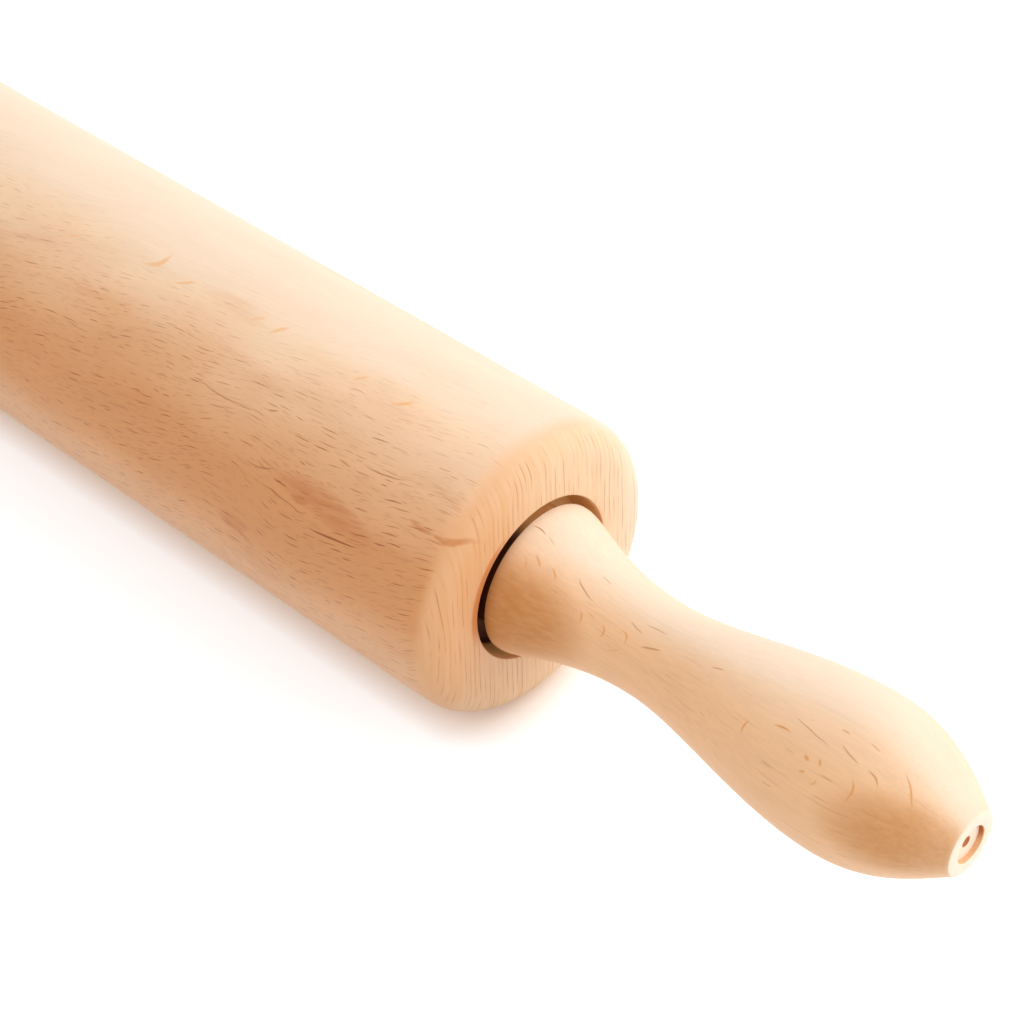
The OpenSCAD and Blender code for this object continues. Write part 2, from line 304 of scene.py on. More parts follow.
def swing(tree, value, share, middle):
    """A middle, moved down or up by half a share as a value runs from 0 to 1."""
    return calc(tree, "MULTIPLY_ADD", calc(tree, "SUBTRACT", value, 0.5), share, middle)


def ease(tree, value, low, high, to_low=0.0, to_high=1.0):
    """Smooth step of a value from low to high."""
    inputs = {"Value": value, "From Min": low, "From Max": high, "To Min": to_low, "To Max": to_high}
    return add(tree, "ShaderNodeMapRange", inputs, interpolation_type="SMOOTHSTEP").outputs[0]


def most(tree, masks):
    """Largest of several masks."""
    result = 0.0
    for mask in masks:
        result = mask if result == 0.0 else calc(tree, "MAXIMUM", result, mask)
    return result


def vector_calc(tree, operation, *values):
    """Result of a Vector Math node that gives a vector."""
    return add(tree, "ShaderNodeVectorMath", dict(enumerate(values)), operation=operation).outputs[0]


def vector_value(tree, operation, *values):
    """Result of a Vector Math node that gives a value."""
    return add(tree, "ShaderNodeVectorMath", dict(enumerate(values)), operation=operation).outputs["Value"]


def scale(tree, vector, factor):
    """Vector times a factor."""
    return add(tree, "ShaderNodeVectorMath", {0: vector, "Scale": factor}, operation="SCALE").outputs[0]


def stretch(tree, vector, x, y, z):
    """Vector divided by three sizes, so that each size becomes one."""
    return vector_calc(tree, "MULTIPLY", vector, (1 / x, 1 / y, 1 / z))


def turn_round_x(tree, vector, angle):
    """Vector turned round the X axis."""
    inputs = {"Vector": vector, "Angle": angle}
    return add(tree, "ShaderNodeVectorRotate", inputs, rotation_type="X_AXIS").outputs[0]


def split(tree, vector):
    """X, Y and Z of a vector."""
    return add(tree, "ShaderNodeSeparateXYZ", {0: vector}).outputs


def join(tree, x, y, z=0.0):
    """Vector of three values."""
    return add(tree, "ShaderNodeCombineXYZ", {0: x, 1: y, 2: z}).outputs[0]


def noise(tree, vector, detail=2.0, rough=0.5, output="Fac"):
    """Noise between 0 and 1 whose blobs are about one across."""
    inputs = {"Vector": vector, "Scale": 1.0, "Detail": detail, "Roughness": rough}
    return add(tree, "ShaderNodeTexNoise", inputs).outputs[output]


def grain_flow(tree, vector, turn=0.0, twist=0.0, sway=0.0, sway_length=50 * MM):
    """Place in the wood's own frame, with X along the grain and Z along the rays."""
    waves = noise(tree, scale(tree, vector, 1 / sway_length), 1)
    angle = calc(tree, "MULTIPLY_ADD", split(tree, vector)["X"], twist, swing(tree, waves, sway, turn))
    return turn_round_x(tree, vector, angle)


def blend(tree, share, first, second, mode="MIX"):
    """Mix of two colours."""
    sides = [side if isinstance(side, bpy.types.NodeSocket) else (*side, 1) for side in (first, second)]
    inputs = {0: share, 6: sides[0], 7: sides[1]}
    return add(tree, "ShaderNodeMix", inputs, data_type="RGBA", blend_type=mode).outputs[2]


def new_group(name, inputs, outputs):
    """Empty shader node group, its input node's sockets and its output node's sockets.

    The inputs are default values by name, and the outputs are kinds of socket by name.
    """
    group = bpy.data.node_groups.new(name, "ShaderNodeTree")
    for socket_name, default in inputs.items():
        kind = "Vector" if isinstance(default, tuple) else "Float"
        socket = group.interface.new_socket(socket_name, in_out="INPUT", socket_type=f"NodeSocket{kind}")
        socket.default_value = default
    for socket_name, kind in outputs.items():
        group.interface.new_socket(socket_name, in_out="OUTPUT", socket_type=f"NodeSocket{kind}")
    return group, group.nodes.new("NodeGroupInput").outputs, group.nodes.new("NodeGroupOutput").inputs


def use_group(tree, maker, **inputs):
    """Outputs of a node group, which is made the first time that it is used."""
    group = bpy.data.node_groups.get(maker.__doc__.split(":")[0]) or maker()
    named = {name.replace("_", " "): value for name, value in inputs.items()}
    return add(tree, "ShaderNodeGroup", named, node_tree=group).outputs


def ray_flecks():
    """Ray flecks: thin marks round the axis, one to a cell of a loose grid, of which a share shows."""
    group, given, out = new_group(
        "Ray flecks",
        {"Vector": (0, 0, 0), "Radius": 30 * MM, "Pitch": 4 * MM, "Gap": 1 * MM, "Length": 1.5 * MM,
         "Width": 0.1 * MM, "Share": 0.5, "Wander": 0.4 * MM, "Seed": 0},
        {"Mask": "Float"},
    )
    parts = split(group, given["Vector"])
    turn = calc(group, "ARCTAN2", calc(group, "MULTIPLY", parts["Y"], -1), parts["Z"])
    arc = calc(group, "MULTIPLY", turn, given["Radius"])
    wave = noise(group, stretch(group, join(group, parts["X"], arc), 5 * MM, 3 * MM, 1), 1)
    place = join(group, parts["X"], swing(group, wave, given["Wander"], arc))
    cell = join(group, given["Pitch"], given["Gap"], 1)
    shift = scale(group, SEED_STEP, given["Seed"])
    cells = vector_calc(group, "ADD", vector_calc(group, "DIVIDE", place, cell), shift)
    voronoi = add(
        group, "ShaderNodeTexVoronoi", {"Vector": cells, "Scale": 1.0}, voronoi_dimensions="2D", feature="F1"
    ).outputs
    lot = add(group, "ShaderNodeSeparateColor", {0: voronoi["Color"]}).outputs
    away = vector_calc(group, "MULTIPLY", vector_calc(group, "SUBTRACT", cells, voronoi["Position"]), cell)
    length = calc(group, "MULTIPLY", given["Length"], calc(group, "ADD", lot[1], 0.5))
    size = join(group, length, given["Width"], 1)
    far = vector_value(group, "LENGTH", vector_calc(group, "DIVIDE", away, size))
    body = ease(group, far, 1.0, 0.3)
    kept = calc(group, "LESS_THAN", lot[0], given["Share"])
    strength = calc(group, "MULTIPLY_ADD", calc(group, "MULTIPLY", lot[2], lot[2]), 0.75, 0.25)
    group.links.new(product(group, body, kept, strength), out["Mask"])
    return group


def fibre_streaks():
    """Fibre streaks: fine long streaks along the grain, between 0 and 1."""
    group, given, out = new_group(
        "Fibre streaks", {"Vector": (0, 0, 0), "Length": 20 * MM, "Width": 0.3 * MM}, {"Value": "Float"}
    )
    size = join(group, given["Length"], given["Width"], given["Width"])
    cells = vector_calc(group, "DIVIDE", given["Vector"], size)
    group.links.new(noise(group, cells, 3, 0.6), out["Value"])
    return group


def wood_and_light_tone():
    """Board tone: one where a direction round the grain is palest, down to minus one across from it."""
    group, given, out = new_group(
        "Wood and light tone", {"Vector": (0, 0, 0), "Palest": 0, "Wobble": 0.3}, {"Value": "Float"}
    )
    turned = turn_round_x(group, given["Vector"], calc(group, "MULTIPLY", given["Palest"], -1))
    round_way = vector_calc(group, "NORMALIZE", vector_calc(group, "MULTIPLY", turned, ACROSS))
    wave = noise(group, stretch(group, given["Vector"], 38 * MM, 13 * MM, 13 * MM), 2)
    group.links.new(swing(group, wave, given["Wobble"], split(group, round_way)["Y"]), out["Value"])
    return group


def grain_mark():
    """Grain mark: one bent lens-shaped mark, given a place in which the mark is one long, wide and deep."""
    group, given, out = new_group(
        "Grain mark", {"Vector": (0, 0, 0), "Bend": 0, "Soft": 0.7, "Strength": 1}, {"Mask": "Float"}
    )
    parts = split(group, given["Vector"])
    squared = calc(group, "MULTIPLY", parts["X"], parts["X"])
    bent = calc(group, "MULTIPLY_ADD", squared, given["Bend"], parts["Y"])
    flat = join(group, parts["X"], bent, parts["Z"])
    far = vector_value(group, "DOT_PRODUCT", flat, flat)
    body = ease(group, far, 1.0, calc(group, "SUBTRACT", 1, given["Soft"]))
    group.links.new(calc(group, "MULTIPLY", body, given["Strength"]), out["Mask"])
    return group


def end_grain():
    """End grain: how far a face looks along the grain, its soft bands and its thin dark lines."""
    group, given, out = new_group(
        "End grain",
        {"Vector": (0, 0, 0), "Normal": (1, 0, 0), "Start": 0.5, "Line Gap": 1 * MM},
        {"Amount": "Float", "Bands": "Float", "Lines": "Float"},
    )
    vector = given["Vector"]
    facing = calc(group, "ABSOLUTE", split(group, given["Normal"])["X"])
    past = calc(group, "SUBTRACT", facing, given["Start"])
    group.links.new(ease(group, past, 0, 0.4), out["Amount"])
    bands = noise(group, stretch(group, vector, 6 * MM, 0.9 * MM, 20 * MM), 2)
    group.links.new(ease(group, bands, 0.25, 0.75), out["Bands"])
    wave = noise(group, stretch(group, vector, 20 * MM, 5 * MM, 12 * MM), 1)
    row = calc(group, "DIVIDE", split(group, vector)["Y"], given["Line Gap"])
    row = calc(group, "MULTIPLY_ADD", wave, 0.9, row)
    off = calc(group, "ABSOLUTE", calc(group, "SUBTRACT", calc(group, "FRACT", row), 0.5))
    broken = noise(group, stretch(group, vector, 6 * MM, 0.8 * MM, 7 * MM), 2)
    line = product(
        group, ease(group, off, 0.14, 0.02), ease(group, broken, 0.4, 0.66), ease(group, facing, 0.6, 0.8)
    )
    group.links.new(line, out["Lines"])
    return group


# Finishes. The functions from soft_patches to tip_shadow each lay one layer on the wood under it.

def new_material(name):
    """Empty material with its shader, and its tree."""
    material = bpy.data.materials.new(name)
    material.use_nodes = True
    return material, material.node_tree, material.node_tree.nodes["Principled BSDF"].inputs


def mark_mask(tree, vector, marks, radius, soft=0.7):
    """Mask of several marks on a round surface."""
    masks = []
    for along, turn, length, width, tilt, bend, strength in marks:
        turn, tilt = math.radians(turn), math.radians(tilt)
        outward = Vector((0, math.cos(turn), math.sin(turn)))
        round_way = Vector((0, -math.sin(turn), math.cos(turn)))
        long_way = Vector((1, 0, 0)) * math.cos(tilt) + round_way * math.sin(tilt)
        frame_of_mark = Matrix((long_way, (-outward).cross(long_way), -outward)).transposed()
        middle = Vector((along * MM, 0, 0)) + outward * radius
        size = (length * MM, width * MM, radius)
        inputs = {"Vector": vector, "Location": middle, "Rotation": frame_of_mark.to_euler(), "Scale": size}
        inside = add(tree, "ShaderNodeMapping", inputs, vector_type="TEXTURE").outputs[0]
        bend = bend * length ** 2 / width
        mark = use_group(tree, grain_mark, Vector=inside, Bend=bend, Soft=soft, Strength=strength)
        masks.append(mark["Mask"])
    return most(tree, masks)


def wood_places(tree, look):
    """Sockets that several layers of the wood share, by name."""
    coords = add(tree, "ShaderNodeTexCoord").outputs
    inputs = {"Vector": coords["Object"], "Rotation": (look["spin"], 0, 0), "Scale": (look["side"], 1, 1)}
    place = add(tree, "ShaderNodeMapping", inputs).outputs[0]
    turned = grain_flow(
        tree, place, twist=look["twist"], sway=look["sway"], sway_length=look["sway_length"]
    )
    flow = vector_calc(tree, "ADD", turned, look["shift"])
    straight = grain_flow(tree, place, twist=look["tone_twist"])
    palest = math.radians(look["palest"])
    tone = use_group(tree, wood_and_light_tone, Vector=straight, Palest=palest, Wobble=look["wobble"])["Value"]
    plain = grain_flow(tree, place, turn=look["end_turn"])
    end = use_group(
        tree, end_grain, Vector=plain, Normal=coords["Normal"], Start=look["end_start"],
        Line_Gap=look["line_gap"],
    )
    bumpy = noise(tree, stretch(tree, place, 6 * MM, 3 * MM, 3 * MM), 1, output="Color")
    pull = vector_calc(tree, "SUBTRACT", bumpy, (0.5, 0.5, 0.5))
    loose = vector_calc(tree, "ADD", place, scale(tree, pull, MARK_PULL))
    across = vector_calc(tree, "MULTIPLY", coords["Object"], ACROSS)
    radial = vector_value(tree, "LENGTH", across)
    worn_and_shaded_way = vector_value(tree, "DOT_PRODUCT", across, WORN_AND_SHADED_WAY)
    parts = split(tree, coords["Object"])
    streaks = use_group(
        tree, fibre_streaks, Vector=flow, Length=look["streak_length"], Width=look["streak_width"]
    )["Value"]
    return {
        "turned": turned, "flow": flow, "loose": loose, "tone": tone, "pale": ease(tree, tone, *PALE_TONE),
        "end": end, "long_side": calc(tree, "SUBTRACT", 1.0, end["Amount"]), "streaks": streaks,
        "placed": mark_mask(tree, loose, look["patches"], look["radius"], 1.0),
        "x": calc(tree, "ABSOLUTE", parts["X"]), "z": parts["Z"], "radial": radial,
        "worn_and_shaded_way": worn_and_shaded_way, "worn_and_shaded_side": calc(tree, "DIVIDE", worn_and_shaded_way, radial),
    }


def board_wood(tree, look, spots, colours):
    """Plain wood from its palest to its darkest side."""
    tone, tan = spots["tone"], getattr(colours, look["tan"])
    dark = product(tree, ease(tree, tone, *DARK_TONE), look["dark_share"])
    wood = blend(tree, dark, tan, colours.heart_and_shade)
    wood = blend(tree, ease(tree, tone, *CREAM_TONE), wood, colours.cream)
    wood = blend(tree, spots["pale"], wood, colours.pale)
    # Painted floor bounce light: the underside turns back towards tan
    far = product(tree, ease(tree, tone, *BOUNCE_TONE), 0.9)
    return blend(tree, far, wood, tan)


def soft_patches(tree, look, spots, colours, wood):
    """Soft patches, some placed and some loose, that the fibres break up."""
    patches = ease(tree, noise(tree, stretch(tree, spots["flow"], 24 * MM, 6 * MM, 6 * MM), 3), 0.54, 0.8)
    patches = calc(tree, "MAXIMUM", product(tree, patches, look["heart_share"]), spots["placed"])
    broken = noise(tree, stretch(tree, spots["flow"], look["break_length"], 0.9 * MM, 0.9 * MM), 2)
    broken = ease(tree, broken, 0.3, 0.7, look["break_low"], 1.0)
    # Patches fade on the side turned to the lamps: painted highlight
    kept = calc(tree, "MULTIPLY_ADD", spots["pale"], -0.8, 1.0)
    return blend(tree, product(tree, patches, broken, kept), wood, getattr(colours, look["patch"]))


def fibre_light(tree, look, spots, colours, wood):
    """Faint clouds and streaks of light and dark along the grain."""
    clouds = noise(tree, stretch(tree, spots["flow"], 30 * MM, 8 * MM, 8 * MM), 3)
    light = swing(tree, clouds, look["cloud_share"], 1.0)
    light = swing(tree, spots["streaks"], look["streak_share"], light)
    grey = add(tree, "ShaderNodeCombineColor", {0: light, 1: light, 2: light}).outputs[0]
    return blend(tree, 1.0, wood, grey, "MULTIPLY")


def flecks_and_marks(tree, look, spots, colours, wood):
    """Thin flecks all over, and the wide flecks and the lines at their own places."""
    radius, loose, long_side = look["radius"], spots["loose"], spots["long_side"]
    dashes = []
    for share, layer in look["flecks"]:
        mask = use_group(tree, ray_flecks, Vector=spots["turned"], Radius=radius, **layer)["Mask"]
        dashes.append(product(tree, mask, share))
    # Flecks fade on the side turned to the lamps: painted highlight
    faint = ease(tree, spots["tone"], *FAINT_TONE, look["fleck_share"], 0.12 * look["fleck_share"])
    embers = mark_mask(tree, loose, look["embers"], radius, 1.0)
    lines = mark_mask(tree, loose, look["lines"], radius)
    thin = getattr(colours, look["line"])
    wood = blend(tree, product(tree, most(tree, dashes), faint, long_side), wood, thin)
    wood = blend(tree, product(tree, embers, long_side), wood, getattr(colours, look["ember"]))
    return blend(tree, product(tree, lines, long_side), wood, thin)


def end_wood(tree, look, spots, colours, wood):
    """End grain with its bands and lines, and the tan edge in front of it."""
    end, worn_and_shaded_way = spots["end"], spots["worn_and_shaded_way"]
    edge = product(tree, ease(tree, spots["x"], *EDGE_X), ease(tree, spots["z"], *EDGE_Z), look["edge_dark"])
    wood = blend(tree, edge, wood, getattr(colours, look["tan"]))
    # Painted light on the lit side of the end face, painted shade on its shaded side
    lit_end = product(tree, ease(tree, worn_and_shaded_way, *LIT_END_SIDE), look["end_lit_pale"])
    shaded_end = product(tree, ease(tree, worn_and_shaded_way, *SHADED_END_SIDE), look["end_shade_warm"])
    cut = blend(tree, end["Bands"], colours.end_dark, colours.end_light)
    cut = blend(tree, lit_end, cut, colours.end_pale)
    cut = blend(tree, look["end_pale"], cut, colours.end_pale)
    cut = blend(tree, shaded_end, cut, colours.end_shade_warm)
    wood = blend(tree, product(tree, end["Amount"], 0.95), wood, cut)
    on_edge = product(tree, spots["placed"], end["Amount"], look["edge_marks"])
    wood = blend(tree, on_edge, wood, colours.patch)
    return blend(tree, product(tree, end["Lines"], look["end_lines"]), wood, colours.end_line)


def recess_wear_and_shade(tree, look, spots, colours, wood):
    """Wood rubbed at the recess's mouth, and light or greasy wood inside it."""
    x, radial, worn_and_shaded_side = spots["x"], spots["radial"], spots["worn_and_shaded_side"]
    # Wear and painted shade on the worn and shaded side of the mouth
    mouth = product(tree, ease(tree, radial, *MOUTH_RADIUS), ease(tree, worn_and_shaded_side, *RUBBED_AND_SHADED_SIDE))
    wood = blend(tree, product(tree, mouth, look["burnish_and_shade"]), wood, colours.rubbed_and_shaded)
    # Painted shade on the low half of the recess floor and on the shaded side, painted light elsewhere just
    # inside
    shaded_low_floor = product(tree, ease(tree, x, *RECESS_FLOOR_X), ease(tree, spots["z"], *LOW_HALF_Z))
    shaded_inside = calc(tree, "MAXIMUM", ease(tree, worn_and_shaded_side, *SHADED_RECESS_SIDE), shaded_low_floor)
    inside = blend(tree, shaded_inside, colours.inside, colours.recess_shade)
    deep = product(tree, ease(tree, x, *RECESS_X), ease(tree, radial, *RECESS_RADIUS))
    return blend(tree, deep, wood, inside)


def tip_shadow(tree, look, spots, colours, wood):
    """Dark wood round the plug, in the upper part of its hole, and in the plug's pip."""
    x, radial = spots["x"], spots["radial"]
    hole = product(
        tree, ease(tree, x, *PLUG_HOLE_X), ease(tree, radial, *PLUG_HOLE_OUTSIDE),
        ease(tree, radial, *PLUG_HOLE_INSIDE), ease(tree, spots["z"], *SHADED_Z, 0.1, 1.0),
    )
    pip = product(tree, ease(tree, x, *PIP_X), ease(tree, radial, *PIP_RADIUS))
    return blend(tree, calc(tree, "MAXIMUM", hole, pip), wood, colours.tip_shade)


def beech(name, look):
    """Sanded beech, in layers from its plain tone to the traces of turning and wear."""
    colours = bpy.context.scene.pin_beech
    material, tree, shader = new_material(name)
    spots = wood_places(tree, look)
    wood = board_wood(tree, look, spots, colours)
    for layer in (soft_patches, fibre_light, flecks_and_marks, end_wood, recess_wear_and_shade, tip_shadow):
        wood = layer(tree, look, spots, colours, wood)
    tree.links.new(wood, shader["Base Color"])
    tree.links.new(swing(tree, spots["streaks"], 0.16, colours.roughness), shader["Roughness"])
    bump = add(tree, "ShaderNodeBump", {"Height": spots["streaks"], "Strength": 0.4, "Distance": 0.01 * MM})
    tree.links.new(bump.outputs[0], shader["Normal"])
    return material


# Marks on the wood: mm along, degrees round from +Y over the top, half length, half width,
# tilt in degrees, bend, strength
ROLLER_EMBERS = [
    (30.7, 105.7, 3.7, 0.9, -57, 0.16, 0.8), (39.4, 106.7, 2.8, 0.5, -37, -0.03, 0.75),
    (64.2, 104.0, 2.6, 0.62, -50, -0.01, 0.7), (58.6, 104.0, 2.1, 0.55, -46, -0.02, 0.5),
    (86.2, 103.8, 2.0, 0.5, -52, 0.02, 0.6), (97.4, 103.8, 2.5, 0.56, -44, 0.04, 0.9),
    (26.6, 120.2, 1.5, 0.36, -17, 0, 0.7), (9.6, 113.6, 1.6, 0.3, -19, 0, 0.7),
]
ROLLER_LINES = [
    (63.4, 135.4, 8.6, 0.16, -3, 0.014, 0.5), (75.6, 130.5, 1.5, 0.18, -15, 0.05, 0.6),
    (99.4, 158.0, 7.0, 0.28, -9, 0.011, 0.95), (83.7, 150.7, 1.1, 0.2, -10, 0.17, 0.8),
    (78.7, 149.9, 4.6, 0.2, -11, 0.042, 0.5), (85.8, 155.1, 6.9, 0.15, 6, -0.008, 0.7),
    (99.2, 119.6, 2.3, 0.17, -8, 0, 0.6), (104.3, 128.9, 5.3, 0.17, -10, 0.025, 0.6),
    (95.6, 132.5, 1.9, 0.17, 2, 0, 0.6), (108.7, 135.0, 2.4, 0.17, -14, 0, 0.7),
]
ROLLER_PATCHES = [
    (95.6, 148.5, 17.0, 3.4, 5, -0.006, 0.6), (89.9, 152.3, 3.6, 0.9, -5, 0.06, 0.9),
    (74.0, 176.2, 5.0, 2.2, 1, 0.03, 0.5), (116.7, 137.7, 3.6, 0.6, 2, 0.026, 0.7),
    (122.5, 136.8, 3.7, 0.9, -24, 0.116, 0.9),
]
HANDLE_EMBERS = [
    (130.5, 120.7, 1.3, 0.32, 44, 0, 0.7), (128.8, 127.1, 1.4, 0.25, 52, 0, 0.5),
    (133.9, 122.0, 1.4, 0.26, 42, 0, 0.8), (142.0, 142.6, 1.3, 0.28, 71, -0.26, 0.8),
    (143.5, 136.0, 1.2, 0.2, 16, -0.25, 0.6), (147.0, 143.8, 1.6, 0.26, 80, -0.43, 0.9),
    (151.1, 135.0, 1.9, 0.25, 50, -0.44, 0.9), (149.8, 156.7, 1.8, 0.2, 148, -0.06, 0.5),
    (181.0, 143.8, 1.5, 0.27, -80, -0.26, 1.0), (187.8, 129.9, 2.2, 0.27, -4, -0.06, 1.0),
    (194.2, 138.4, 0.9, 0.42, 21, 0, 0.9), (196.8, 136.6, 0.8, 0.36, 50, 0, 0.9),
    (194.6, 147.2, 0.8, 0.32, -22, 0, 0.8), (197.3, 149.8, 1.2, 0.26, -56, 0.5, 0.7),
    (203.5, 142.7, 2.8, 0.26, 84, -0.11, 0.9), (211.1, 120.4, 3.7, 0.24, 50, -0.04, 0.9),
]
HANDLE_LINES = [
    (126.9, 100.6, 1.6, 0.17, -5, -0.21, 0.8), (129.8, 102.4, 1.2, 0.15, 14, 0, 0.4),
    (139.9, 118.8, 3.0, 0.17, 22, 0.033, 0.6), (156.4, 133.2, 2.5, 0.24, -20, 0, 0.6),
    (152.1, 122.2, 2.1, 0.16, 12, 0, 0.5), (155.5, 112.9, 2.9, 0.16, -7, 0, 0.5),
    (141.5, 97.2, 1.4, 0.16, 2, 0, 0.4), (192.8, 122.4, 4.7, 0.16, 9, -0.006, 0.55),
    (200.2, 122.3, 2.7, 0.17, 15, 0, 0.55), (202.9, 109.3, 1.2, 0.16, 6, 0, 0.4),
    (205.5, 125.4, 1.8, 0.18, 27, -0.19, 0.6), (189.3, 169.3, 1.3, 0.16, -6, 0, 0.5),
    (187.9, 156.8, 1.5, 0.16, 4, 0, 0.4), (170.5, 117.3, 1.6, 0.16, -14, 0, 0.5),
    (197.5, 112.2, 1.1, 0.17, 2, 0, 0.5),
]
# The first patch, beside the roller, is painted shade where the foot meets the roller; the second is a darker
# streak of the wood
HANDLE_SHADE_AND_PATCHES = [
    (129, 172, 18, 13, 0, 0, 0.92), (214, 164, 18, 9.5, 0, 0, 0.74),
]

# Each look names its colours, says how its grain runs (twist, sway, and the side in degrees where it is
# palest, which is turned to the lamps as painted light), how strong each layer is (a share between none and
# all), how the fibres break up its patches, and how its end grain, its edges and its recess look. Flecks are
# layers of a strength and its sizes.
SAME_LOOK = {"shift": (0, 0, 0), "spin": 0.0, "side": RIGHT, "end_turn": -0.03, "cloud_share": 0.14}
ROLLER_LOOK = {
    **SAME_LOOK, "radius": ROLLER_RADIUS,
    "tan": "tan", "patch": "patch", "ember": "ember", "line": "fleck",
    "twist": 5.5, "sway": 0.6, "sway_length": 50 * MM, "tone_twist": 0.2, "palest": 72, "wobble": 0.45,
    "dark_share": 1.0, "heart_share": 0.3, "fleck_share": 0.95,
    "break_length": 14 * MM, "break_low": 0.4,
    "streak_length": 12 * MM, "streak_width": 0.3 * MM, "streak_share": 0.16,
    "end_start": 0.35, "end_pale": 0.0, "end_shade_warm": 0.62, "end_lines": 0.62, "line_gap": 1.2 * MM,
    "end_lit_pale": 0.5, "edge_dark": 0.7, "edge_marks": 0.75, "burnish_and_shade": 0.9,
    "embers": ROLLER_EMBERS, "lines": ROLLER_LINES, "patches": ROLLER_PATCHES,
    "flecks": [
        (1.0, {"Pitch": 5.2 * MM, "Gap": 1.25 * MM, "Length": 2.1 * MM, "Width": 0.14 * MM, "Share": 0.75,
               "Wander": 0.9 * MM, "Seed": 1}),
        (0.6, {"Pitch": 4.2 * MM, "Gap": 1.1 * MM, "Length": 1.5 * MM, "Width": 0.12 * MM, "Share": 0.5,
               "Wander": 0.9 * MM, "Seed": 2}),
        (0.4, {"Pitch": 2.8 * MM, "Gap": 0.8 * MM, "Length": 1.0 * MM, "Width": 0.11 * MM, "Share": 0.8,
               "Wander": 0.9 * MM, "Seed": 5}),
    ],
}
HANDLE_LOOK = {
    **SAME_LOOK, "radius": 12.5 * MM,
    "tan": "handle_tan", "patch": "handle_shade_and_patch", "ember": "handle_ember", "line": "handle_line",
    "twist": 0.0, "sway": 0.2, "sway_length": 40 * MM, "tone_twist": 0.0, "palest": 78, "wobble": 0.35,
    "dark_share": 0.1, "heart_share": 0.15, "fleck_share": 0.6,
    "break_length": 60 * MM, "break_low": 0.85,
    "streak_length": 24 * MM, "streak_width": 0.5 * MM, "streak_share": 0.2,
    "end_start": 0.5, "end_pale": 1.0, "end_shade_warm": 0.0, "end_lines": 0.25, "line_gap": 0.5 * MM,
    "end_lit_pale": 0.0, "edge_dark": 0.0, "edge_marks": 0.0, "burnish_and_shade": 0.0,
    "embers": HANDLE_EMBERS, "lines": HANDLE_LINES, "patches": HANDLE_SHADE_AND_PATCHES,
    "flecks": [
        (0.8, {"Pitch": 7 * MM, "Gap": 2.2 * MM, "Length": 1.5 * MM, "Width": 0.15 * MM, "Share": 0.5,
               "Wander": 0.8 * MM, "Seed": 3}),
        (0.5, {"Pitch": 18 * MM, "Gap": 1.6 * MM, "Length": 6 * MM, "Width": 0.16 * MM, "Share": 0.8,
               "Wander": 0.8 * MM, "Seed": 4}),
    ],
}


def plain_metal(name, colour, roughness, line_size):
    """Worked metal with fine tool lines round the pin's axis."""
    material, tree, shader = new_material(name)
    place = add(tree, "ShaderNodeTexCoord").outputs["Object"]
    line_length = 40 * line_size
    lines = noise(tree, stretch(tree, place, line_size, line_length, line_length), 3)
    blotches = noise(tree, stretch(tree, place, 3 * MM, 3 * MM, 3 * MM), 3)
    dull = [value * 0.7 for value in colour]
    tree.links.new(blend(tree, ease(tree, blotches, 0.4, 0.75), colour, dull), shader["Base Color"])
    tree.links.new(swing(tree, lines, 0.2, roughness), shader["Roughness"])
    shader["Metallic"].default_value = 1.0
    bump = add(tree, "ShaderNodeBump", {"Height": lines, "Strength": 0.3, "Distance": 0.004 * MM})
    tree.links.new(bump.outputs[0], shader["Normal"])
    return material


def nylon(name):
    """Cut nylon with a soft cloudy tone."""
    material, tree, shader = new_material(name)
    place = add(tree, "ShaderNodeTexCoord").outputs["Object"]
    clouds = noise(tree, stretch(tree, place, 2 * MM, 2 * MM, 2 * MM), 3)
    tree.links.new(blend(tree, clouds, srgb(236, 232, 220), srgb(214, 208, 192)), shader["Base Color"])
    tree.links.new(calc(tree, "MULTIPLY_ADD", clouds, 0.15, 0.4), shader["Roughness"])
    return material


# Shapes

def on_ring(vert, x, radius):
    """Whether a vertex lies on the circle of that radius round the axis at x."""
    return abs(vert.co.x - x) < ON_RING and abs(math.hypot(vert.co.y, vert.co.z) - radius) < ON_RING


def turned_piece(name, outline, side, steps, edges=()):
    """Mesh object turned round X from an outline of (x, radius) places that closes on itself.

    Each of edges is (x, radius, offset, segments): the corner there is rounded by that much.
    """
    mesh = bmesh.new()
    corners = [mesh.verts.new((side * x, 0, radius)) for x, radius in outline]
    lines = [mesh.edges.new(pair) for pair in zip(corners, corners[1:] + corners[:1])]
    bmesh.ops.spin(
        mesh, geom=corners + lines, cent=(0, 0, 0), axis=(1, 0, 0), angle=math.tau, steps=steps,
        use_merge=True,
    )
    bmesh.ops.remove_doubles(mesh, verts=mesh.verts, dist=SAME_POINT)
    bmesh.ops.recalc_face_normals(mesh, faces=mesh.faces)
    for x, radius, offset, segments in edges:
        found = [edge for edge in mesh.edges if all(on_ring(vert, side * x, radius) for vert in edge.verts)]
        bmesh.ops.bevel(
            mesh, geom=found, offset=offset, offset_type="OFFSET", affect="EDGES", segments=segments,
            profile=0.5, material=-1,
        )
    data = bpy.data.meshes.new(name)
    mesh.to_mesh(data)
    mesh.free()
    data.shade_smooth()
    data.set_sharp_from_angle(angle=SHARP_ANGLE)
    piece = bpy.data.objects.new(name, data)
    bpy.context.scene.collection.objects.link(piece)
    return piece


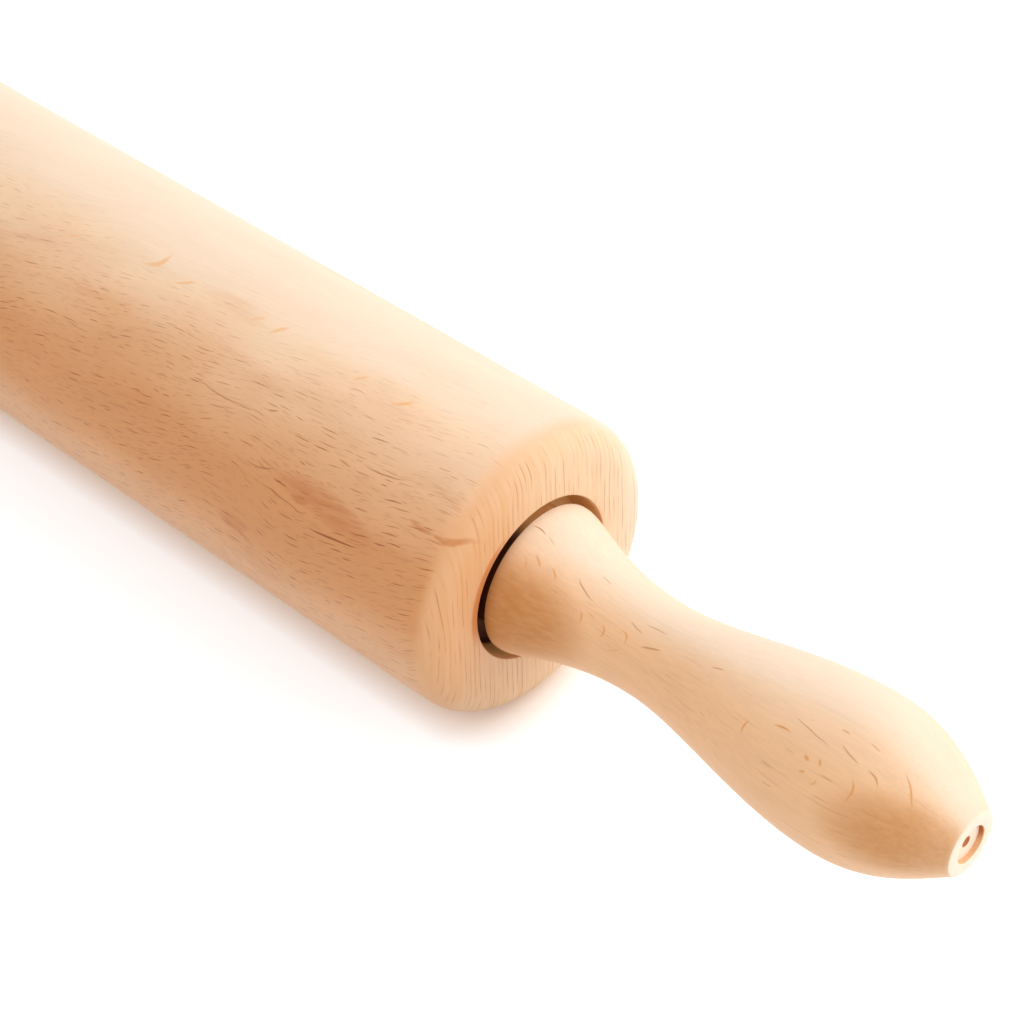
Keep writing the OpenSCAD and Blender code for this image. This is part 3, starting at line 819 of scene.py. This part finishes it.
def roller_outline(sizes):
    """Outline of the roller with sharp corners, and the corners to round."""
    floor_x = ROLLER_END - sizes.recess_depth
    half = [
        (0, sizes.bore_radius), (SEAT_BACK_X, sizes.bore_radius), (SEAT_BACK_X, SEAT_RADIUS),
        (floor_x, SEAT_RADIUS), (floor_x, sizes.recess_radius), (ROLLER_END, sizes.recess_radius),
        (ROLLER_END, ROLLER_RADIUS), (0, ROLLER_RADIUS),
    ]
    other = [(-x, radius) for x, radius in reversed(half[1:-1])]
    rounds = []
    for side in SIDES.values():
        rounds.append((side * ROLLER_END, ROLLER_RADIUS, sizes.edge_radius, EDGE_SEGMENTS))
        rounds.append((side * ROLLER_END, sizes.recess_radius, sizes.recess_edge, MOUTH_SEGMENTS))
    return half + other, rounds


def handle_outline(sizes):
    """Outline of the right handle, from its foot to its tip and back through its bore."""
    rim_x = ROLLER_END + sizes.foot_proud
    lip_x = ROLLER_END - sizes.foot_lip
    neck_x = ROLLER_END + sizes.neck_at
    grip_x = ROLLER_END + sizes.grip_at
    slope_x = sizes.tip_reach * math.cos(sizes.tip_slope)
    slope_r = sizes.tip_reach * math.sin(sizes.tip_slope)
    bends = [
        ((rim_x, sizes.foot_radius), (rim_x + sizes.rim_reach, sizes.foot_radius),
         (neck_x - sizes.neck_in_reach, sizes.neck_radius), (neck_x, sizes.neck_radius)),
        ((neck_x, sizes.neck_radius), (neck_x + sizes.neck_out_reach, sizes.neck_radius),
         (grip_x - sizes.grip_in_reach, GRIP_RADIUS), (grip_x, GRIP_RADIUS)),
        ((grip_x, GRIP_RADIUS), (grip_x + sizes.grip_out_reach, GRIP_RADIUS),
         (TIP_X - slope_x, sizes.tip_radius + slope_r), (TIP_X, sizes.tip_radius)),
    ]
    outline = [
        (FOOT_X, AXLE_RADIUS), (FOOT_X, sizes.spigot_radius),
        (lip_x - sizes.foot_shoulder, sizes.spigot_radius), (lip_x, sizes.foot_radius),
        (rim_x, sizes.foot_radius),
    ]
    for points in bends:
        curve = interpolate_bezier(*[Vector(point) for point in points], sizes.bend_steps)
        outline += [tuple(point) for point in curve[1:]]
    outline += [
        (TIP_X, PLUG_RADIUS), (SCREW_SEAT_X, PLUG_RADIUS), (SCREW_SEAT_X, sizes.screw_hole_radius),
        (AXLE_END_X, sizes.screw_hole_radius), (AXLE_END_X, AXLE_RADIUS),
    ]
    return outline


def dress(piece, body, slot, material, *nodes):
    """Gives a new piece its finish, its body and the frame's nodes that it stands for."""
    piece.data.materials.append(material)
    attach(piece, body)
    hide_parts(*nodes)


def finish_nodes(names, material):
    """Gives the frame's own nodes a finish."""
    for name in names:
        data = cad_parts[name].data
        data.materials.clear()
        data.materials.append(material)


def both(*names):
    """Names of the right and the left of each part."""
    return [f"{side}_{name}" for name in names for side in SIDES]


class PIN_OT_roller(bpy.types.Operator):
    """Turn the roller with its rounded ends, recesses and bearing seats"""

    bl_idname = "pin.roller"
    bl_label = "Roller"

    def execute(self, context):
        sizes = context.scene.pin_roller
        outline, rounds = roller_outline(sizes)
        piece = turned_piece("turned_roller", outline, RIGHT, sizes.steps, rounds)
        dress(piece, "roller", "roller_beech", beech("Roller beech", ROLLER_LOOK), "roller")
        return {"FINISHED"}


class PIN_OT_handles(bpy.types.Operator):
    """Turn both handles, each from its own piece of beech"""

    bl_idname = "pin.handles"
    bl_label = "Handles"

    def execute(self, context):
        sizes = context.scene.pin_handle
        outline = handle_outline(sizes)
        rounds = [
            (TIP_X, sizes.tip_radius, sizes.tip_edge, TIP_SEGMENTS),
            (TIP_X, PLUG_RADIUS, sizes.tip_edge / 2, MOUTH_SEGMENTS),
        ]
        for name, side in SIDES.items():
            piece = turned_piece(f"{name}_turned_handle", outline, side, sizes.steps, rounds)
            look = HANDLE_LOOK
            if side == LEFT:
                look = dict(HANDLE_LOOK, shift=(0.3, 0.07, 0.05), spin=2.2, side=LEFT, patches=[])
            material = beech(f"{name.capitalize()} handle beech", look)
            dress(piece, "spindle", "handle_beech", material, f"{name}_handle")
        return {"FINISHED"}


class PIN_OT_plugs(bpy.types.Operator):
    """Turn the plugs that cover the handle screws"""

    bl_idname = "pin.plugs"
    bl_label = "End plugs"

    def execute(self, context):
        sizes = context.scene.pin_handle
        outline = [
            (PLUG_BACK_X, 0), (PLUG_BACK_X, PLUG_RADIUS), (PLUG_FACE_X, PLUG_RADIUS),
            (PLUG_FACE_X, sizes.pip_radius), (PLUG_FACE_X - sizes.pip_radius, 0),
        ]
        material = beech("Plug beech", dict(HANDLE_LOOK, shift=(0, 0.02, 0), embers=[], lines=[], patches=[]))
        for name, side in SIDES.items():
            piece = turned_piece(f"{name}_turned_plug", outline, side, sizes.plug_steps)
            dress(piece, "spindle", "plug_wood", material, f"{name}_end_plug")
        return {"FINISHED"}


class PIN_OT_bearings(bpy.types.Operator):
    """Finish the races, balls, cages and shields"""

    bl_idname = "pin.bearings"
    bl_label = "Bearings"

    def execute(self, context):
        steel = plain_metal("Bearing steel", srgb(200, 202, 206), 0.22, 0.1 * MM)
        brass = plain_metal("Cage brass", srgb(214, 172, 96), 0.34, 0.15 * MM)
        finish_nodes(both("inner_race", "outer_race", "balls", "outer_shield", "inner_shield"), steel)
        finish_nodes(both("ball_cage"), brass)
        return {"FINISHED"}


class PIN_OT_axle(bpy.types.Operator):
    """Finish the axle, the screws, the clips and the spacers"""

    bl_idname = "pin.axle"
    bl_label = "Axle and fasteners"

    def execute(self, context):
        finish_nodes(["axle"], plain_metal("Axle steel", srgb(190, 192, 196), 0.3, 0.2 * MM))
        finish_nodes(both("handle_screw"), plain_metal("Screw steel", srgb(176, 178, 184), 0.35, 0.3 * MM))
        finish_nodes(both("axle_clip"), plain_metal("Clip steel", srgb(96, 98, 104), 0.4, 0.3 * MM))
        finish_nodes(both("spacer"), nylon("Spacer nylon"))
        return {"FINISHED"}


# Each lamp's name, place in metres, width and power
LAMPS = (
    ("Right", (0.7, 0.6, 1.1), 1.0, 3), ("Back left", (-0.6, 1.1, 0.6), 1.2, 2),
    ("Back", (0.2, 1.1, 0.8), 1.0, 5.5), ("Tip", (1.3, 0.3, 0.5), 1.0, 6),
    ("Front", (-0.3, -1.0, 0.8), 1.0, 3),
)
# Place that the lamps face
LIT_PLACE = (0.12, 0, 0)
# Width of the camera's sensor in millimetres, to which the focal length belongs
SENSOR_WIDTH = 36


class PIN_OT_stage(bpy.types.Operator):
    """Set the pale floor, the lamps and the camera"""

    bl_idname = "pin.stage"
    bl_label = "Stage"

    def execute(self, context):
        stage = context.scene.pin_stage
        mesh = bmesh.new()
        bmesh.ops.create_grid(mesh, x_segments=1, y_segments=1, size=stage.floor_size / 2)
        bmesh.ops.translate(mesh, vec=(0, 0, FLOOR_Z), verts=mesh.verts)
        data = bpy.data.meshes.new("floor")
        mesh.to_mesh(data)
        mesh.free()
        floor = bpy.data.objects.new("floor", data)
        context.scene.collection.objects.link(floor)
        floor.data.materials.append(pale_floor(stage))
        sky(context.scene, stage)
        for name, place, size, power in LAMPS:
            lamp(name, place, size, power * stage.lamp_power)
        aim_camera(context.scene, stage)
        context.scene.view_settings.view_transform = "Standard"
        return {"FINISHED"}


def seen_rays(tree):
    """One for camera, glossy and transmission rays, and zero for the rest."""
    path = add(tree, "ShaderNodeLightPath").outputs
    seen = calc(tree, "MAXIMUM", path["Is Camera Ray"], path["Is Glossy Ray"])
    return calc(tree, "MAXIMUM", seen, path["Is Transmission Ray"])


def pale_floor(stage):
    """Near-white floor that the camera sees a little brighter, so that it ends in white."""
    material, tree, shader = new_material("Pale floor")
    place = add(tree, "ShaderNodeTexCoord").outputs["Object"]
    clouds = noise(tree, stretch(tree, place, 0.3, 0.3, 0.3), 2)
    shader["Roughness"].default_value = 0.8
    shader["Specular IOR Level"].default_value = 0.1
    # Painted contact shadow: the camera's white and the floor's colour follow the ambient occlusion
    contact_shadow = add(
        tree, "ShaderNodeAmbientOcclusion", {"Distance": stage.shadow_reach}, samples=8
    ).outputs["AO"]
    open_share = ease(tree, contact_shadow, 0.1, 1.0)
    plain = blend(tree, clouds, stage.floor_light, stage.floor_dark)
    tree.links.new(blend(tree, open_share, stage.floor_shadow_tint, plain), shader["Base Color"])
    tree.links.new(blend(tree, open_share, stage.floor_glow, (1, 1, 1)), shader["Emission Color"])
    shaded, left = stage.floor_lift * stage.floor_shade, stage.floor_lift * (1 - stage.floor_shade)
    lift = calc(tree, "MULTIPLY_ADD", contact_shadow, shaded, left)
    tree.links.new(calc(tree, "MULTIPLY", lift, seen_rays(tree)), shader["Emission Strength"])
    return material


def sky(scene, stage):
    """Even light from all round that the camera sees as white."""
    world = bpy.data.worlds.new("Sky")
    world.use_nodes = True
    scene.world = world
    tree = world.node_tree
    background = tree.nodes["Background"].inputs
    background["Color"].default_value = (*stage.sky_colour, 1)
    strength = calc(tree, "MULTIPLY_ADD", seen_rays(tree), 1 - stage.sky, stage.sky)
    tree.links.new(strength, background["Strength"])


def lamp(name, place, size, power):
    """Square lamp that faces the pin's right part."""
    data = bpy.data.lights.new(name, "AREA")
    data.shape = "SQUARE"
    data.size = size
    data.energy = power
    made = bpy.data.objects.new(name, data)
    bpy.context.scene.collection.objects.link(made)
    made.visible_camera = False
    made.location = place
    made.rotation_euler = (Vector(LIT_PLACE) - made.location).to_track_quat("-Z", "Y").to_euler()


def aim_camera(scene, stage):
    """Camera at the photo's place."""
    data = bpy.data.cameras.new("Camera")
    data.lens = stage.camera_lens
    data.sensor_width = SENSOR_WIDTH
    data.clip_start = 10 * MM
    camera = bpy.data.objects.new("Camera", data)
    scene.collection.objects.link(camera)
    camera.location = stage.camera_place
    camera.rotation_euler = stage.camera_turn
    scene.camera = camera


class PIN_PT_panel(bpy.types.Panel):
    """Lists the pin's settings and the steps that make it"""

    bl_idname = "PIN_PT_panel"
    bl_label = "Rolling Pin"
    bl_space_type = "VIEW_3D"
    bl_region_type = "UI"
    bl_category = "Rolling Pin"

    def draw(self, context):
        for name, settings in SETTINGS.items():
            box = self.layout.box()
            box.label(text=settings.__doc__)
            for prop in settings.__annotations__:
                box.prop(getattr(context.scene, name), prop)
        for operator in OPERATORS:
            self.layout.operator(operator.bl_idname)


SETTINGS = {
    "pin_roller": PIN_PG_roller,
    "pin_handle": PIN_PG_handle,
    "pin_beech": PIN_PG_beech,
    "pin_stage": PIN_PG_stage,
}
OPERATORS = (PIN_OT_stage, PIN_OT_roller, PIN_OT_handles, PIN_OT_plugs, PIN_OT_axle, PIN_OT_bearings)


def register():
    """Registers the classes and hangs the settings on the scene."""
    for cls in (*SETTINGS.values(), *OPERATORS, PIN_PT_panel):
        bpy.utils.register_class(cls)
    for name, settings in SETTINGS.items():
        setattr(bpy.types.Scene, name, PointerProperty(type=settings))


def unregister():
    """Takes away what register added."""
    for name in SETTINGS:
        delattr(bpy.types.Scene, name)
    for cls in reversed((*SETTINGS.values(), *OPERATORS, PIN_PT_panel)):
        bpy.utils.unregister_class(cls)


def main():
    """Makes the whole pin and its stage, and writes the sizes before and after."""
    register()
    bpy.ops.pin.stage()
    bpy.ops.pin.roller()
    bpy.ops.pin.handles()
    bpy.ops.pin.plugs()
    bpy.ops.pin.axle()
    bpy.ops.pin.bearings()


if __name__ == "__main__":
    main()
